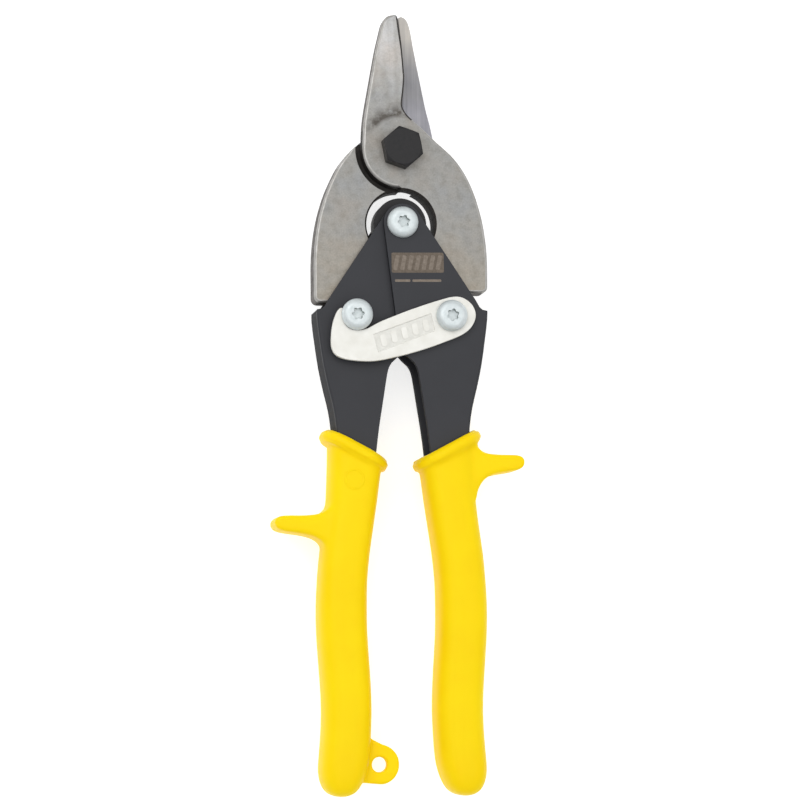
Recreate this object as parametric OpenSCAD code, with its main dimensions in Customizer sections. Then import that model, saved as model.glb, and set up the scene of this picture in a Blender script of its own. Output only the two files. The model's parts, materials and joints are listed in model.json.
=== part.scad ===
// Compound-action aviation snips with short bulldog jaws, closed and latched.
// The tool lies on its back: +Z is up out of the front face, +Y runs to the jaw tips, +X is to the right.
// Origin: under the middle of the bounding box, on the surface that the tool lies on.

/* [Blades] */
// Distance from the blade pivot to the jaw tips
jaw_len = 42.6; // [38:0.1:46]
// Thickness of a forged blade beside its lap face
blade_t = 5.45; // [5:0.05:5.8]
// Radius of the round boss that each blade has about the pivot bolt
boss_r = 11.9; // [11.6:0.1:12]
// Width of the crescent relief between a boss and the other blade's tail
boss_relief = 2; // [1:0.1:2.5]
// Radius of the round window between the tails, where the handle pivot sits
window_r = 10.5; // [10.2:0.1:11]
// How far the jaw's outer face drops from the boss to the tip
jaw_taper = 2; // [0:0.1:3]

/* [Handles] */
// Sheet thickness of the pressed handle channels
plate_t = 1.8; // [1.5:0.05:1.8]
// Clearance between neighbouring faces that slide past each other
slide_gap = 0.3; // [0.2:0.01:0.3]
// Radius of the rounded plate ends about the handle pivot
ear_r = 5.8; // [5.5:0.1:6.9]
// How far along the tool the handle pivot lies below the blade pivot
handle_pivot_drop = 23.1; // [23:0.1:23.3]
// Sideways distance of each link pivot from the middle line
link_x = 14.6; // [14.4:0.1:14.8]
// How far along the tool the link pivots lie below the blade pivot
link_drop = 52; // [51.5:0.1:52.5]

/* [Grips] */
// Overall front-to-back thickness of a moulded grip
grip_t = 18.5; // [17:0.1:20]
// Thickness of the lip round the mouth of a grip
lip_t = 4; // [3:0.1:4.5]
// Front-to-back width of a finger guard
guard_w = 14; // [8:0.5:16]
// Diameter of the hole in the hanging lug
hang_hole_d = 4.7; // [4:0.1:5]
// Thickness of the hanging lug
lug_t = 4; // [3:0.1:6]

/* [Pivots] */
// Width across flats of the pivot bolt's head and of its nut
hex_af = 11.3; // [11:0.1:12]
// Height of the pivot bolt's head
hex_h = 5; // [4:0.1:6]
// Diameter of the pivot bolt's shank
bolt_d = 7; // [6:0.1:7]
// Diameter of the button heads on the three pivot screws
head_d = 9.6; // [9:0.1:10]
// Height of the button heads
head_h = 2.5; // [2.2:0.1:2.8]
// Diameter of the pivot screws' shanks
screw_d = 4; // [3.5:0.1:4]
// Radial running clearance of a shaft in its hole
run_fit = 0.05; // [0.02:0.01:0.08]
// Radial clearance of the left handle on the handle pivot sleeve
open_fit = 0.25; // [0.2:0.01:0.3]

/* [Latch] */
// Thickness of the latch plate
latch_t = 1.8; // [1.5:0.1:2]
// Depth of the blank panel pressed into the latch
panel_depth = 0.35; // [0:0.05:0.5]

/* [Spring] */
// Wire diameter of the opening spring
wire_d = 0.9; // [0.7:0.05:1]
// Number of turns of the opening spring
spring_turns = 11; // [8:1:13]

/* [Hidden] */

$fn = 64;
eps = 0.01;
far = 60;                       // reaches past the tool in any direction

// Heights are counted from the lap plane where the two blades meet.
lap = slide_gap / 2;            // each blade stands back this much from the lap plane
face_z = lap + blade_t;         // outer face of a blade
outer_in = face_z + slide_gap;  // inner face of a handle's outer plate
outer_out = outer_in + plate_t; // outer face of a handle's outer plate
inner_out = face_z;             // outer face of a handle's inner plate
inner_in = inner_out - plate_t; // inner face of a handle's inner plate
tail_back = -(inner_in - slide_gap); // inner face of a blade's thick tail
mid_z = (outer_out - inner_out) / 2; // a handle's middle plane, off the lap plane

latch_gap = 0.25;               // between the right handle's plate and the latch
latch_z = outer_out + latch_gap;
latch_top = latch_z + latch_t;
washer_t = 0.3;                 // spring washer over the latch
washer_gap = 0.05;
link_head_z = latch_top + washer_gap + washer_t; // seat of both link screws' heads

pivot_washer_t = 1;
pivot_washer_gap = 0.1;
pivot_nut_h = 6;
bolt_end = 0.6;                 // thread standing out of a nut
nut_af = 7;
nut_h = 3.2;
lap_z = face_z + pivot_washer_gap + pivot_washer_t + pivot_nut_h + bolt_end;
grip_end = 197.5;               // from the blade pivot to the bottom of the grips
pivot_y = (grip_end - jaw_len) / 2;

bolt_r = bolt_d / 2;
screw_r = screw_d / 2;
sleeve_r = 3.5;                 // sleeve of the handle pivot
spacer_r = 8.1;
bush_r = 3.4;                   // bushes of the link pivots
standoff_r = 2.6;               // the tube that the latch hooks onto
latch_bush_r = 3;
washer_r = 4.6;
lug_eye_r = 6.4;                // round end of a blade's tail about its link pivot
spring_drop = 41;               // the spring's line, below the blade pivot
tail_inner_x = 8.6;             // straight inner edge of a tail
pocket_depth = 2.5;             // blind spring pocket in that edge
pocket_r = 2.8;
spring_r = 2.05;                // of the wire's middle line

steel = [0.66, 0.65, 0.63];
dark = [0.27, 0.27, 0.29];
black = [0.12, 0.12, 0.13];
zinc = [0.86, 0.89, 0.92];
cream = [0.93, 0.92, 0.87];
yellow = [0.98, 0.80, 0.03];
nylon = [0.85, 0.86, 0.84];

handle_pivot = [0, -handle_pivot_drop];
link_right = [link_x, -link_drop];
link_left = [-link_x, -link_drop];

// A point of the curve from b to c that also runs through a and d.
function spline_point(a, b, c, d, t) =
    0.5 * (2 * b + (c - a) * t + (2 * a - 5 * b + 4 * c - d) * t * t + (3 * b - a - 3 * c + d) * t * t * t);

// A smooth open curve through every point, with n steps between neighbours.
function spline(p, n) = let (m = len(p)) concat(
    [for (i = [0:m - 2], k = [0:n - 1])
        spline_point(p[max(i - 1, 0)], p[i], p[i + 1], p[min(i + 2, m - 1)], k / n)],
    [p[m - 1]]);

function moved(p, v) = [for (q = p) q + v];

// A rectangle about the origin with round corners, as points.
function round_rect(w, h, r, n = 6) = [for (c = [0:3], k = [0:n])
    let (a = 90 * (c + k / n), sx = (c == 0 || c == 3) ? 1 : -1, sy = c < 2 ? 1 : -1)
    [sx * (w / 2 - r) + r * cos(a), sy * (h / 2 - r) + r * sin(a)]];

// Everything is drawn about the blade pivot, then stood on the surface.
module placed() {
    translate([0, pivot_y, lap_z]) children();
}

// The rear blade and the left handle are the front and right ones turned over.
module turned_over() {
    rotate([0, 180, 0]) children();
}

module at(p) {
    translate([p[0], p[1], 0]) children();
}

module slab(z0, z1) {
    translate([0, 0, z0]) linear_extrude(z1 - z0) children();
}

module rod(r, z0, z1) {
    translate([0, 0, z0]) cylinder(r = r, h = z1 - z0);
}

module tube(r_out, r_in, z0, z1) {
    difference() {
        rod(r_out, z0, z1);
        rod(r_in, z0 - 1, z1 + 1);
    }
}

// ---------- blades ----------

jaw_k = jaw_len / 42.6;

// Back of the jaw, from the boss to the tip.
front_back = [[-11.8, 1.5], [-11.55, 7.3], [-10.8, 12.8], [-9.25, 21.3], [-7.6, 30.4], [-6.35, 35.8], [-5.5, 39.2],
    [-4.6, 41], [-3.5, 42], [-2.2, 42.4], [-1.1, 42.3], [-0.3, 41.8], [0.1, 41]];
rear_back = [[-11.5, 1.5], [-10.6, 6], [-9.9, 9.2], [-8.75, 13.6], [-7.5, 19.9], [-6.7, 23.9], [-5.9, 27.9],
    [-4.95, 33], [-4.2, 37.5], [-3.5, 40.3], [-2.7, 41.8], [-1.5, 42.58], [-0.6, 42.4], [0, 41.5]];
// Cutting edge from the tip down, then the relief that runs round to the tail.
cut_edge = [[0.2, 40.2], [0.35, 38], [0.6, 34.4], [1.05, 28.5], [1.35, 25], [1.4, 22.4], [1.1, 18.8], [0.6, 14.8],
    [0.75, 13], [1.9, 11], [3.6, 9.3], [6, 7.3], [9.4, 4.6], [12.3, 2.3]];
// Outer edge of the tail.
tail_edge = [[12.3, 2.3], [16.2, -1.4], [18.9, -5], [20.9, -8.9], [22.7, -13], [24.1, -17.2], [25.2, -21.4],
    [26, -25.8], [26.55, -30.5], [26.8, -35.5], [26.8, -40]];

function stretched(p) = [for (q = p) [q[0], q[1] * (q[1] > 0 ? jaw_k : 1)]];

// The shoulder where the jaw's relief meets the tail is drawn in by ease at its tip, and less above and below it.
function eased(p, ease) = [for (q = p)
    [q[0] - ease * max(0, min((7.3 - q[1]) / 5, (q[1] + 9) / 11.3)), q[1]]];

// The jaw, its cutting edge and the lower half of the round boss about the pivot bolt.
module jaw_outline(back, ease) {
    polygon(concat(
        spline(stretched(back), 4),
        spline(eased(stretched(cut_edge), ease), 3),
        [for (a = [5:-5:-180]) boss_r * [cos(a), sin(a)]]));
}

// The tail down to its square shoulder, with the eye for the link pivot below it.
module tail_outline(shoulder, ease) {
    corner = 1.8;
    polygon(concat(
        spline(eased(tail_edge, ease), 3),
        [for (k = [0:4]) [26.8 - corner + corner * cos(22.5 * k), -shoulder + corner - corner * sin(22.5 * k)]],
        [[link_x + lug_eye_r, -shoulder], [link_x + lug_eye_r, -link_drop],
        [tail_inner_x, -link_drop], [tail_inner_x, -29],
        [0, -16], [0, -8], [9, 2]]));
}

// What is ground away above the cutting edge: a steep flank, widest at the tip and dying out halfway down.
module flank() {
    low = [1.38, 0.2];              // sideways places of the flank at its foot, at the two ends
    high = [1.3, -2.5];
    from = 24;
    to = 44;
    side = 8;
    top = face_z + 1;
    polyhedron(
        points = [[low[0], from, lap], [low[1], to, lap], [side, to, lap], [side, from, lap],
            [high[0], from, top], [high[1], to, top], [side, to, top], [side, from, top]],
        faces = [[3, 2, 1, 0], [4, 5, 6, 7], [1, 2, 6, 5], [0, 4, 7, 3], [3, 7, 6, 2], [1, 5, 4], [1, 4, 0]]);
}

// A blade with its lap face down: the jaw and boss above the lap plane, the tail thick on both sides of it.
module blade(back, shoulder, ease) {
    bolt_hole = bolt_r + run_fit;
    taper_a = atan(jaw_taper / (jaw_len - 14));
    difference() {
        union() {
            slab(lap, face_z) jaw_outline(back, ease);
            difference() {
                union() {
                    slab(tail_back, face_z) tail_outline(shoulder, ease);
                    at(link_right) rod(lug_eye_r, tail_back, face_z);
                }
                rod(boss_r + boss_relief, tail_back - 1, lap);
                at(handle_pivot) rod(window_r, tail_back - 1, face_z + 1);
            }
        }
        rod(bolt_hole, lap - 1, face_z + 1);
        at(link_right) rod(bush_r + run_fit, tail_back - 1, face_z + 1);
        translate([tail_inner_x - 1, -spring_drop, 0])
            rotate([0, 90, 0])
            cylinder(r = pocket_r, h = pocket_depth + 1);
        flank();
        translate([-far / 2, 14, face_z])
            rotate([-taper_a, 0, 0])
            cube([far, far, 10]);
    }
}

module blade_front() {
    color(steel) placed() blade(front_back, 44.2, 1);
}

module blade_rear() {
    color(steel) placed() turned_over() blade(rear_back, 47.6, 0);
}

// ---------- blade pivot ----------

// A hexagon standing on z = 0, with its upper corners taken off by a 30 degree cone.
module hex_body(af, h) {
    top_r = 0.48 * af;
    intersection() {
        cylinder(r = af / 2 / cos(30), h = h, $fn = 6);
        cylinder(r1 = top_r + h / tan(30), r2 = top_r, h = h);
    }
}

module pivot_bolt() {
    color(black) placed() {
        translate([0, 0, face_z]) rotate(101) hex_body(hex_af, hex_h);
        rod(bolt_r, -lap_z, face_z + eps);
    }
}

module pivot_washer() {
    z1 = -face_z - pivot_washer_gap;
    color(zinc) placed() tube(6.6, bolt_r + run_fit, z1 - pivot_washer_t, z1);
}

pivot_nut_top = -face_z - pivot_washer_gap - pivot_washer_t;
pivot_nut_end = pivot_nut_top - pivot_nut_h;
ring_t = 1.3;                   // nylon ring of the lock nut
ring_r = 4.5;
nut_rim = 0.3;                  // the rolled rim that holds the ring in

module pivot_nut() {
    color(zinc) placed() difference() {
        translate([0, 0, pivot_nut_top]) rotate([180, 0, 0]) rotate(11) hex_body(hex_af, pivot_nut_h);
        rod(bolt_r + eps, pivot_nut_end - 1, pivot_nut_top + 1);
        rod(ring_r, pivot_nut_end + nut_rim, pivot_nut_end + nut_rim + ring_t);
    }
}

module pivot_nut_ring() {
    z0 = pivot_nut_end + nut_rim;
    color(nylon) placed() tube(ring_r, bolt_r + eps, z0, z0 + ring_t);
}

// ---------- handles ----------

// Outer side of a channel, from its shoulder down into the grip.
channel_outer = [[26.2, -50], [26.3, -52.5], [25.5, -59], [24.3, -67], [22.8, -74], [21.35, -80],
    [20.5, -86], [20.25, -92], [20.45, -100], [20.8, -108], [21.71, -116], [22.71, -124], [23.52, -132],
    [23.92, -140], [23.83, -148], [23.33, -156], [22.74, -164], [22.44, -172], [22.65, -180],
    [23.15, -186]];
// Inner side, from the end in the grip up to the middle of the tool.
channel_inner = [[12.75, -186], [11.95, -180], [11.54, -172], [11.74, -164], [12.23, -156],
    [12.63, -148], [12.72, -140], [12.42, -132], [11.51, -124], [10.51, -116], [9.5, -108],
    [8.85, -100], [8.16, -93], [7.3, -86], [6.35, -80], [5.56, -75], [4.93, -71], [4.35, -68.2],
    [3.33, -66.2], [1.39, -64.4], [-0.4, -62], [-1.6, -58], [-2.4, -51]];
ear_shoulder = [[22.6, -46.8], [23.8, -48.9], [24.7, -49.7]];

// Direction from c to where a line through p touches the circle of radius r about c.
function touch_angle(c, r, p, side) = let (d = p - c) atan2(d[1], d[0]) + side * acos(r / norm(d));

// The plate's upper end is round about the handle pivot, and its two straight edges run off that arc.
module channel_outline() {
    a0 = touch_angle(handle_pivot, ear_r, ear_shoulder[0], 1);
    a1 = touch_angle(handle_pivot, ear_r, channel_inner[len(channel_inner) - 1], -1) + 360;
    steps = 24;
    polygon(concat(
        ear_shoulder,
        spline(channel_outer, 2),
        spline(channel_inner, 2),
        [for (k = [steps:-1:0]) let (a = a0 + (a1 - a0) * k / steps)
            handle_pivot + ear_r * [cos(a), sin(a)]]));
}

// A pressed channel with its web on the outer side, open towards the middle of the tool.
module channel(pivot_hole_outer, pivot_hole_inner) {
    hollow = concat(moved(spline(channel_outer, 2), [-plate_t, 0]),
        [[20, -far * 4], [-far, -far * 4], [-far, 0], [far, 0], [far, channel_outer[0][1]]]);
    difference() {
        slab(-inner_out, outer_out) channel_outline();
        slab(-inner_in, outer_in) polygon(hollow);
        at(handle_pivot) rod(pivot_hole_outer, 0, outer_out + 1);
        at(handle_pivot) rod(pivot_hole_inner, -inner_out - 1, 0);
        at(link_right) rod(screw_r + run_fit, -inner_out - 1, outer_out + 1);
    }
}

module handle_right() {
    color(dark) placed() channel(screw_r + run_fit, sleeve_r + run_fit);
}

module handle_left() {
    color(dark) placed() turned_over() channel(sleeve_r + open_fit, sleeve_r + open_fit);
}

// ---------- grips ----------

// Stations down a grip: distance from the blade pivot, inner side, outer side, share of the full thickness.
grip_stations = [[-84, 4.12, 22.12, 0.94], [-92, 5.25, 22.15, 0.94], [-100, 6.35, 22.35, 0.95],
    [-108, 7.4, 22.7, 0.96], [-116, 8.61, 23.61, 0.98], [-124, 9.81, 24.71, 1], [-132, 10.62, 25.42, 1],
    [-140, 10.82, 25.82, 1], [-148, 10.73, 25.73, 1], [-156, 10.23, 25.23, 0.99],
    [-164, 9.74, 24.64, 0.98], [-172, 9.54, 24.34, 0.98], [-180, 9.85, 24.65, 0.98],
    [-186, 10.35, 25.15, 0.98], [-190, 11.15, 25.35, 0.96], [-193.4, 12.45, 24.75, 0.9],
    [-195.9, 14.15, 23.35, 0.78], [-197.1, 16.15, 21.45, 0.6], [-grip_end, 17.85, 19.75, 0.4]];
mouth_outer = [22.5, -88.5];      // the two ends of the lip across the mouth
mouth_inner = [6.2, -97.2];
section_points = 32;
section_power = 3.2;            // a rounded rectangle between an ellipse and a box

function signed_pow(v, e) = sign(v) * pow(abs(v), e);

// One level of the grip's surface.
function grip_section(s) = [for (k = [0:section_points - 1])
    let (a = 360 * k / section_points, w = (s[2] - s[1]) / 2, c = (s[1] + s[2]) / 2, h = grip_t / 2 * s[3])
    [c + w * signed_pow(cos(a), 2 / section_power), s[0], mid_z + h * signed_pow(sin(a), 2 / section_power)]];

module grip_core() {
    levels = spline(grip_stations, 2);
    n = section_points;
    m = len(levels);
    polyhedron(
        points = [for (s = levels) each grip_section(s)],
        faces = concat(
            [[for (k = [0:n - 1]) k]],
            [for (i = [0:m - 2], k = [0:n - 1])
                let (j = (k + 1) % n) [i * n + k, (i + 1) * n + k, (i + 1) * n + j, i * n + j]],
            [[for (k = [n - 1:-1:0]) (m - 1) * n + k]]));
}

mouth_mid = (mouth_outer + mouth_inner) / 2;
mouth_len = norm(mouth_outer - mouth_inner);
mouth_a = atan2(mouth_outer[1] - mouth_inner[1], mouth_outer[0] - mouth_inner[0]);

// Children drawn in the plane of the mouth, with y out of it.
module in_mouth() {
    translate([mouth_mid[0], mouth_mid[1], mid_z]) rotate(mouth_a) children();
}

module lip() {
    w = mouth_len + lip_t;
    h = grip_t + 2.2;
    edge = 0.9;
    lip_corner = 8;
    in_mouth() rotate([90, 0, 0]) {
        translate([0, 0, -lip_t / 2 + edge]) linear_extrude(lip_t - 2 * edge) polygon(round_rect(w, h, lip_corner));
        translate([0, 0, -lip_t / 2]) linear_extrude(lip_t) polygon(round_rect(w - 2 * edge, h - 2 * edge, lip_corner - edge));
    }
}

// Side view of a finger guard, from its upper root round the tip to its lower root.
guard_upper = [[18.5, 6], [21.5, 5.6], [22.7, 4.9], [24.4, 3.2], [27.1, 2.5], [31.5, 2.3], [36.1, 2.2], [37.7, 1.4]];
guard_lower = [[38.3, 0], [37.7, -1.5], [36.1, -2.4], [31.5, -3.2], [27.9, -3.9], [25.5, -5], [23.8, -7], [22.7, -9.5],
    [22, -12], [18.5, -12]];

// How far out a guard leaves the grip's side: beyond this it can be made longer or shorter.
guard_root_x = 23.5;

module guard(y, grow) {
    profile = [for (p = spline(concat(guard_upper, guard_lower), 2)) [p[0] + max(0, p[0] - guard_root_x) * grow, p[1]]];
    translate([0, y, 0]) slab(mid_z - guard_w / 2, mid_z + guard_w / 2) polygon(profile);
}

lug_at = [7, -188];
lug_r = 6.1;

lug_gap = 0.05;                 // between the lug and the grip's side

module lug() {
    root = [for (p = spline(grip_stations, 2)) if (p[0] < -178.5 && p[0] > lug_at[1] - lug_r) [p[1] - lug_gap, p[0]]];
    slab(mid_z - lug_t / 2, mid_z + lug_t / 2) polygon(concat(
        root,
        [for (a = [260:-10:100]) lug_at + lug_r * [cos(a), sin(a)]]));
}

// The channel's envelope, which the moulding is open to.
module grip_bore() {
    slab(-inner_out, outer_out) polygon(concat(
        [for (p = spline(channel_outer, 2)) if (p[1] < -70) p],
        [for (p = spline(channel_inner, 2)) if (p[1] < -78) p]));
}

module grip(guard_y, grow) {
    difference() {
        union() {
            difference() {
                grip_core();
                in_mouth() translate([-far / 2, 0, -far / 2]) cube([far, far, far]);
            }
            lip();
            guard(guard_y, grow);
        }
        grip_bore();
    }
}

module grip_right() {
    color(yellow) placed() grip(-96.4, -0.04);
}

module grip_left() {
    color(yellow) placed() turned_over() grip(-115, 0.08);
}

// The hanging lug of the left grip's moulding.
module hang_lug() {
    color(yellow) placed() turned_over() difference() {
        lug();
        at(lug_at) rod(hang_hole_d / 2, mid_z - lug_t, mid_z + lug_t);
    }
}

// ---------- pivot screws ----------

// Six-lobed key recess.
module lobed(r, depth) {
    wave = 0.135;
    translate([0, 0, -depth]) linear_extrude(depth + 1)
        polygon([for (k = [0:47]) r * (1 - wave + wave * cos(45 * k)) * [cos(7.5 * k), sin(7.5 * k)]]);
}

// A button head standing on z = 0, with the shank below it.
module screw(shank_len, recess_turn = 0) {
    flange_h = 0.6;
    crown_r = 2.7;
    difference() {
        union() {
            rotate_extrude() polygon(concat(
                [[0, 0], [head_d / 2 - 0.15, 0], [head_d / 2, 0.15], [head_d / 2, flange_h]],
                [for (k = [1:6]) let (a = 15 * k)
                    [crown_r + (head_d / 2 - crown_r) * cos(a), flange_h + (head_h - flange_h) * sin(a)]],
                [[0, head_h]]));
            rod(screw_r, -shank_len, eps);
        }
        translate([0, 0, head_h]) rotate(recess_turn) lobed(1.95, 1.5);
    }
}

// A plain hexagon nut whose upper face lies at z = 0.
module nut() {
    difference() {
        rotate([180, 0, 0]) hex_body(nut_af, nut_h);
        rod(screw_r + eps, -nut_h - 1, 1);
    }
}

sleeve_end = -outer_out - slide_gap; // the sleeve stands a little proud of the rearmost plate

module handle_pivot_screw() {
    color(zinc) placed() at(handle_pivot) translate([0, 0, outer_out])
        screw(outer_out - sleeve_end + nut_h + bolt_end, 12);
}

module handle_pivot_sleeve() {
    color(zinc) placed() at(handle_pivot) tube(sleeve_r, screw_r + run_fit, sleeve_end, outer_in);
}

module handle_pivot_spacer() {
    color(black) placed() at(handle_pivot) tube(spacer_r, sleeve_r + run_fit, -inner_in, inner_in - slide_gap);
}

module handle_pivot_nut() {
    color(zinc) placed() at(handle_pivot) translate([0, 0, sleeve_end]) nut();
}

module link_screw_left() {
    color(zinc) placed() at(link_left) translate([0, 0, link_head_z])
        screw(link_head_z + outer_out + nut_h + bolt_end, 4);
}

module link_screw_right() {
    color(zinc) placed() at(link_right) translate([0, 0, link_head_z])
        screw(link_head_z + inner_out + nut_h + bolt_end, 20);
}

module link_bush_left() {
    color(zinc) placed() at(link_left) tube(bush_r, screw_r + run_fit, -outer_in, inner_in);
}

module link_bush_right() {
    color(zinc) placed() at(link_right) tube(bush_r, screw_r + run_fit, -inner_in, outer_in);
}

module link_nut_left() {
    color(zinc) placed() at(link_left) translate([0, 0, -outer_out]) rotate(8) nut();
}

module link_nut_right() {
    color(zinc) placed() at(link_right) translate([0, 0, -inner_out]) rotate(21) nut();
}

// ---------- latch ----------

// Outline of the latch: from the inner side of the hook's tip, round the outside, back along the upper edge.
latch_outside = [[-18.7, -50.3], [-19.3, -50], [-20.1, -50.4], [-21, -51.9], [-21.9, -54.6], [-22.4, -58],
    [-22.4, -61.6], [-21.4, -64], [-19.2, -65.3], [-15.6, -66], [-10.5, -66.2], [-6.6, -65.7], [-2.8, -64.8],
    [1.3, -63.8], [7.2, -62], [13.1, -59.8], [17.6, -57.9], [20.4, -55.8], [21.9, -53.2], [22.1, -50.9],
    [21.2, -48.7], [19.4, -47], [17.2, -46.1], [14.6, -46.2], [11.6, -47], [7.2, -48.4], [1.3, -50.5],
    [-2.7, -52.1], [-6.6, -53.7], [-9.2, -55], [-11.2, -56.1]];
// Inside of the hook, under the screw head: round the stand-off and up to the tip.
latch_inside = [[-12.9, -56.6], [-15, -56.7], [-17, -56.1], [-18.3, -54.8], [-18.7, -53]];
panel = [[-9.5, -58], [8.2, -51.4], [9.4, -56.6], [-8, -63.4]];

module latch() {
    color(cream) placed() difference() {
        slab(latch_z, latch_top) polygon(concat(spline(latch_outside, 3), spline(latch_inside, 2)));
        at(link_right) rod(latch_bush_r + run_fit, latch_z - 1, latch_top + 1);
        slab(latch_top - panel_depth, latch_top + 1) polygon(panel);
    }
}

module latch_bush() {
    color(zinc) placed() at(link_right)
        tube(latch_bush_r, screw_r + run_fit, outer_out, link_head_z);
}

module latch_washer() {
    color(zinc) placed() at(link_right)
        tube(washer_r, latch_bush_r + run_fit, link_head_z - washer_t, link_head_z);
}

module latch_standoff() {
    color(zinc) placed() at(link_left)
        tube(standoff_r, screw_r + run_fit, inner_out, link_head_z);
}

// ---------- opening spring ----------

spring_end = tail_inner_x + pocket_depth - 0.1; // half the spring's closed length

// The wire's middle line runs at a steady pitch between the two pockets.
module opening_spring() {
    per_turn = 20;
    sides = 8;
    rings = spring_turns * per_turn;
    half = spring_end - wire_d / 2;
    pitch_lean = atan(2 * half / spring_turns / (360 * spring_r * PI / 180));
    points = [for (i = [0:rings], k = [0:sides - 1])
        let (a = 360 * i / per_turn, b = 360 * k / sides,
            u = cos(b) * wire_d / 2, w = sin(b) * wire_d / 2,
            r = spring_r + u)
        [-half + 2 * half * i / rings + w * cos(pitch_lean),
            r * cos(a) + w * sin(pitch_lean) * sin(a),
            r * sin(a) - w * sin(pitch_lean) * cos(a)]];
    faces = concat(
        [[for (k = [0:sides - 1]) k]],
        [for (i = [0:rings - 1], k = [0:sides - 1])
            let (j = (k + 1) % sides)
            [i * sides + k, (i + 1) * sides + k, (i + 1) * sides + j, i * sides + j]],
        [[for (k = [sides - 1:-1:0]) rings * sides + k]]);
    color(zinc) placed() translate([0, -spring_drop, 0]) polyhedron(points = points, faces = faces);
}

blade_front();
blade_rear();
pivot_bolt();
pivot_washer();
pivot_nut();
pivot_nut_ring();
handle_left();
handle_right();
grip_left();
grip_right();
hang_lug();
handle_pivot_screw();
handle_pivot_sleeve();
handle_pivot_spacer();
handle_pivot_nut();
link_screw_left();
link_screw_right();
link_bush_left();
link_bush_right();
link_nut_left();
link_nut_right();
latch();
latch_bush();
latch_washer();
latch_standoff();
opening_spring();
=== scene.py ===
"""Looks of the compound-action aviation snips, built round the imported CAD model."""
import json
import math

import bmesh
import bpy
from mathutils import Matrix, Vector


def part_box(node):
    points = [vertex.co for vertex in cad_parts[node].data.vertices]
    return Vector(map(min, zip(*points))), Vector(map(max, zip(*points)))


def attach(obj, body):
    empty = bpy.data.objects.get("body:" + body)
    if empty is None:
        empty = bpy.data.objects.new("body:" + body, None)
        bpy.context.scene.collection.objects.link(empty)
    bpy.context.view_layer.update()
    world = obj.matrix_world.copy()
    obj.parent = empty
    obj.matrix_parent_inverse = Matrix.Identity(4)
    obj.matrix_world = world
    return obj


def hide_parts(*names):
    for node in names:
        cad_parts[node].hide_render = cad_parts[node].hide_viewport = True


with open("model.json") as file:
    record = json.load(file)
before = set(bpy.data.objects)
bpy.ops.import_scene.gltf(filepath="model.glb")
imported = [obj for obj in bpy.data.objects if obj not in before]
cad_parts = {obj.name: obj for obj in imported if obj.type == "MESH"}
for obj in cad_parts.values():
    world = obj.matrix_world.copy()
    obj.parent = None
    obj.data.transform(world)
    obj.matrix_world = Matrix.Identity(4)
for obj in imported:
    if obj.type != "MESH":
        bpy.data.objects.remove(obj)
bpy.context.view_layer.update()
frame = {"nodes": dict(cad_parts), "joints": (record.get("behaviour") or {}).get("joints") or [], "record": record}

MM = 0.001
NODES = frame["nodes"]
BODY_OF = {n: b for b, members in frame["record"]["behaviour"]["bodies"].items() for n in members}
SLOT_OF = {s["node"]: s["material_slot"] for s in frame["record"]["subparts"]}
BLADE_PIVOT = next(Vector(joint["pos_m"]) for joint in frame["joints"] if joint["name"] == "blade_pivot")


def local(x, y, z=0.0):
    """A point given in millimetres from the blade pivot, on the plane where the blades meet."""
    return BLADE_PIVOT + Vector((x, y, z)) * MM


# ---------- materials ----------

INSERT_MARK = (-15.3, -101.9, 8.2)      # mm, a mould insert's round mark on the front of the left grip
INSERT_RADIUS = 2.9


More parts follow.
